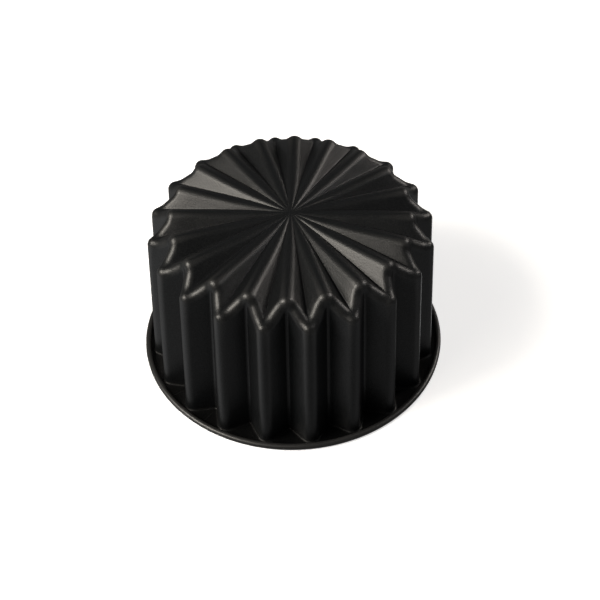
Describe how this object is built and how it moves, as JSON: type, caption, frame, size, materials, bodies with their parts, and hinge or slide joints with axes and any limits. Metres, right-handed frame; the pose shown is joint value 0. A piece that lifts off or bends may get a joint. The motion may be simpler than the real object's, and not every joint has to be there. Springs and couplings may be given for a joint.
{
  "type": "mini cake mould",
  "caption": "Small deep fluted cake mould of coated sheet steel, with a pleated base, a flat flange and a rolled rim. It stands on its mouth.",
  "frame": {"origin": "middle of the mouth, on the plane of the flange's flat face, which lies on the table", "axes": "+Z along the mould's axis, from the mouth up to the pleated base; +X and +Y each run out through a notch between two flutes"},
  "size_m": [0.13, 0.13, 0.0736],
  "materials": {
    "nonstick_coating": "satin black non-stick coating with a very fine grain, on pressed steel sheet",
    "drawn_steel": "plain drawn steel wire"
  },
  "bodies": {
    "root": {"mould_shell": "nonstick_coating", "rim_wire": "drawn_steel"}
  },
  "joints": []
}
